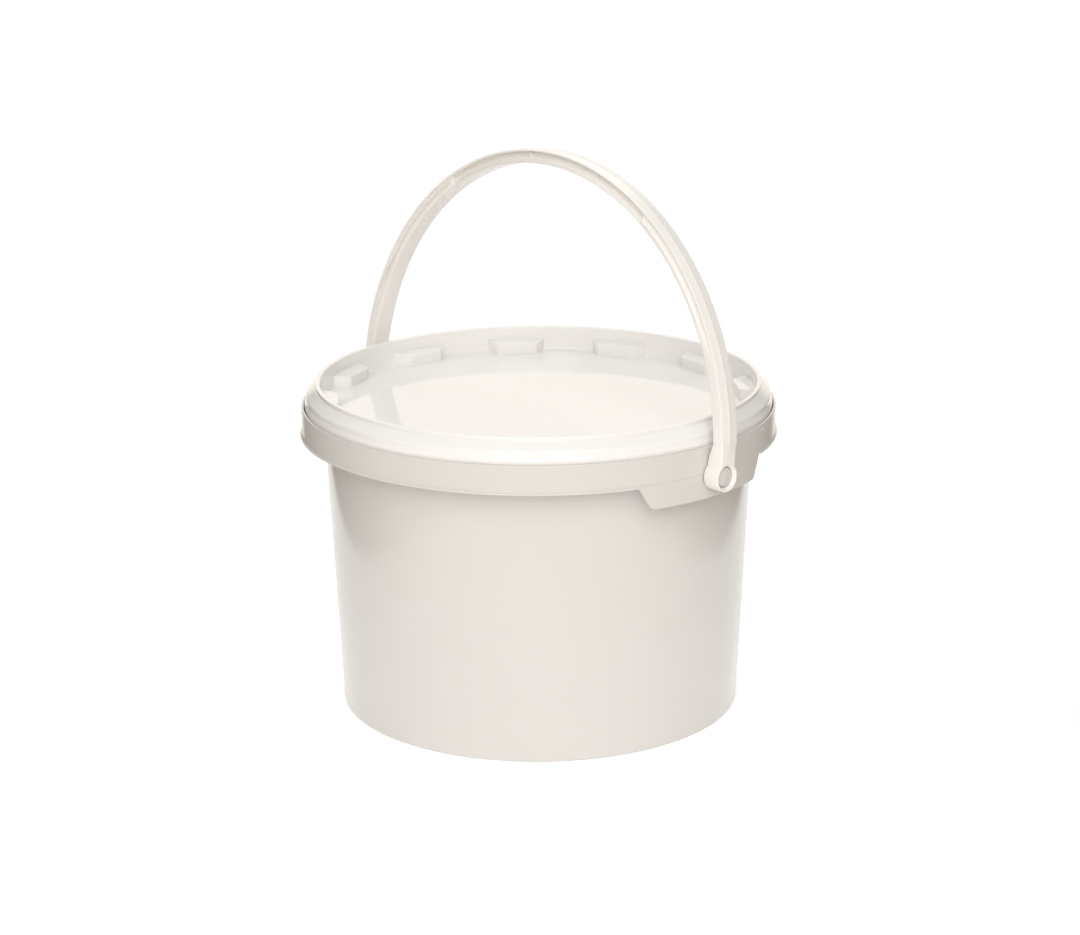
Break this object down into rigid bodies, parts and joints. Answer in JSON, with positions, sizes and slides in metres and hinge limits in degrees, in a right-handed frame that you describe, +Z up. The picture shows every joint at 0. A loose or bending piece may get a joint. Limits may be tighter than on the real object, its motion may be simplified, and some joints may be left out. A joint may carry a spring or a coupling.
{
  "type": "lidded plastic pail",
  "caption": "Round tapered plastic food pail with a recessed press-on lid and a swinging one-piece bail handle.",
  "frame": {"origin": "middle of the foot ring, on the surface that the pail stands on", "axes": "+Z up through the lid, X along the axis that the handle turns on"},
  "size_m": [0.2132, 0.1982, 0.2321],
  "materials": {
    "pail_plastic": "glossy opaque white polypropylene",
    "lid_plastic": "glossy slightly translucent white polypropylene",
    "handle_plastic": "satin white polypropylene"
  },
  "bodies": {
    "pail": {"bucket": "pail_plastic"},
    "lid": {"lid": "lid_plastic"},
    "handle": {"handle": "handle_plastic"}
  },
  "joints": [
    {"name": "handle_swing", "type": "hinge", "parent": "pail", "child": "handle", "pos_m": [0, 0, 0.11615], "axis": [1, 0, 0], "range_deg": [-121, 130]},
    {"name": "lid_lift", "type": "slide", "parent": "pail", "child": "lid", "axis": [0, 0, 1], "range_m": [0, 0.014]}
  ]
}
